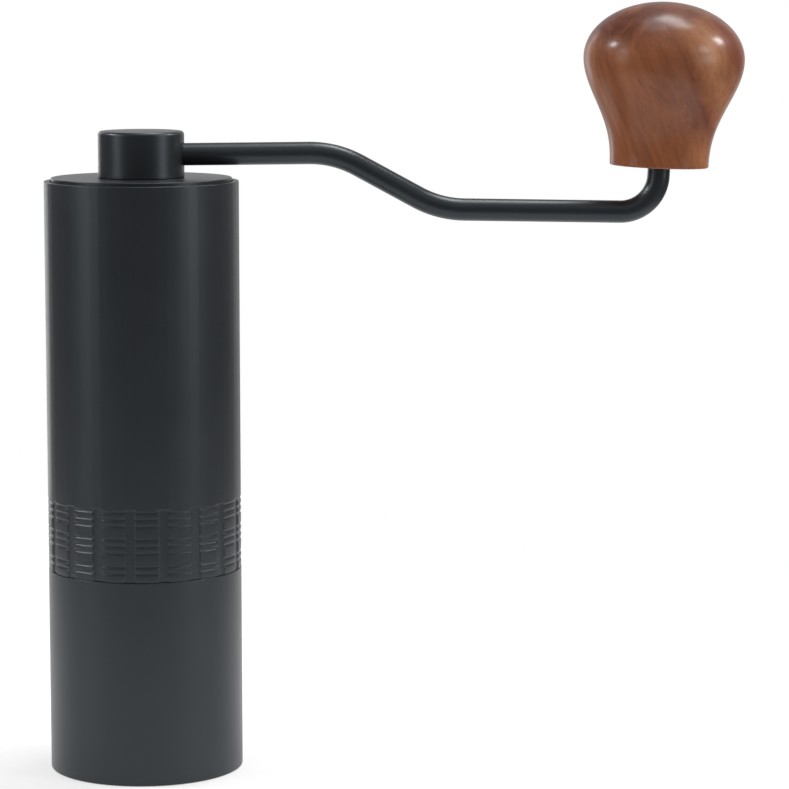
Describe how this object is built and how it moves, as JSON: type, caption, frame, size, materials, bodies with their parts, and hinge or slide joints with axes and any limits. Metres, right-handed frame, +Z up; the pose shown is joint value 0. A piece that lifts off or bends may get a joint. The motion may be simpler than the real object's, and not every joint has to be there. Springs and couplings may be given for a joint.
{
  "type": "hand crank coffee grinder",
  "caption": "Slim cylindrical hand coffee grinder with a ribbed grip band, screw-on catch cup, lift-off lid, bent rod crank and a turned wooden knob.",
  "frame": {"origin": "centre of the catch cup's flat base, on the surface that the grinder stands on", "axes": "+Z up along the grinder's shaft, +X from the shaft towards the crank's knob at rest, +Y away from the front"},
  "size_m": [0.1866, 0.052, 0.2068],
  "materials": {
    "black_anodised": "satin black anodised",
    "wood": "polished red-brown hardwood",
    "steel": "machined",
    "spring_steel": "bright drawn",
    "brass": "machined",
    "silicone": "matt",
    "nylon": "matt natural"
  },
  "bodies": {
    "barrel": {"barrel": "black_anodised", "upper_bracket": "black_anodised", "upper_bearing_outer_race": "steel", "bracket_snap_ring": "spring_steel", "lower_bracket": "black_anodised", "lower_bearing_outer_race": "steel", "outer_burr": "steel", "burr_retaining_ring": "steel"},
    "lid": {"lid": "black_anodised", "lid_seal_ring": "silicone", "lid_bush": "nylon"},
    "crank": {"crank_hub": "black_anodised", "crank_arm": "black_anodised", "arm_grub_screw": "steel", "hub_circlip": "spring_steel", "knob_retaining_clip": "spring_steel"},
    "knob": {"knob": "wood", "knob_sleeve": "brass"},
    "drive_shaft": {"drive_shaft": "steel", "upper_bearing_inner_race": "steel", "lower_bearing_inner_race": "steel", "upper_shaft_circlip": "spring_steel", "lower_shaft_circlip": "spring_steel", "spring_washer": "steel", "burr_spring": "spring_steel", "dial_retaining_clip": "spring_steel"},
    "upper_ball_cage": {"upper_bearing_ball_cage": "brass"},
    "lower_ball_cage": {"lower_bearing_ball_cage": "brass"},
    "inner_burr": {"inner_burr": "steel", "click_plate": "steel"},
    "adjustment_dial": {"adjustment_dial": "black_anodised", "detent_ball_1": "steel", "detent_ball_2": "steel", "detent_spring_1": "spring_steel", "detent_spring_2": "spring_steel"},
    "cup_seal": {"cup_seal_ring": "silicone"},
    "catch_cup": {"catch_cup": "black_anodised"}
  },
  "joints": [
    {"name": "lid_lift", "type": "slide", "parent": "barrel", "child": "lid", "axis": [0, 0, 1], "range_m": [0, 0.03]},
    {"name": "crank_turn", "type": "hinge", "parent": "lid", "child": "crank", "pos_m": [0, 0, 0.166], "axis": [0, 0, 1], "continuous": true},
    {"name": "knob_spin", "type": "hinge", "parent": "crank", "child": "knob", "pos_m": [0.1382, 0, 0.1632], "axis": [0.0366, 0, 0.9993], "continuous": true},
    {"name": "shaft_turn", "type": "hinge", "parent": "barrel", "child": "drive_shaft", "pos_m": [0, 0, 0.11], "axis": [0, 0, 1], "continuous": true},
    {"name": "upper_bearing_roll", "type": "hinge", "parent": "barrel", "child": "upper_ball_cage", "pos_m": [0, 0, 0.1432], "axis": [0, 0, 1], "continuous": true},
    {"name": "lower_bearing_roll", "type": "hinge", "parent": "barrel", "child": "lower_ball_cage", "pos_m": [0, 0, 0.0801], "axis": [0, 0, 1], "continuous": true},
    {"name": "burr_gap", "type": "slide", "parent": "drive_shaft", "child": "inner_burr", "axis": [0, 0, 1], "range_m": [-0.0008, 0.0008], "deforming": ["burr_spring"]},
    {"name": "dial_turn", "type": "hinge", "parent": "inner_burr", "child": "adjustment_dial", "pos_m": [0, 0, 0.0528], "axis": [0, 0, 1], "range_deg": [-360, 360]},
    {"name": "cup_lower", "type": "slide", "parent": "barrel", "child": "cup_seal", "axis": [0, 0, -1], "range_m": [0, 0.006]},
    {"name": "cup_unscrew", "type": "hinge", "parent": "cup_seal", "child": "catch_cup", "pos_m": [0, 0, 0.05], "axis": [0, 0, -1], "range_deg": [0, 1080]}
  ],
  "couplings": [
    {"joint": "shaft_turn", "follows": "crank_turn", "ratio": 1},
    {"joint": "upper_bearing_roll", "follows": "crank_turn", "ratio": 0.4355},
    {"joint": "lower_bearing_roll", "follows": "crank_turn", "ratio": 0.4355},
    {"joint": "burr_gap", "follows": "dial_turn", "m_per_rad": 0.00012732},
    {"joint": "cup_lower", "follows": "cup_unscrew", "m_per_rad": 0.00031831}
  ]
}
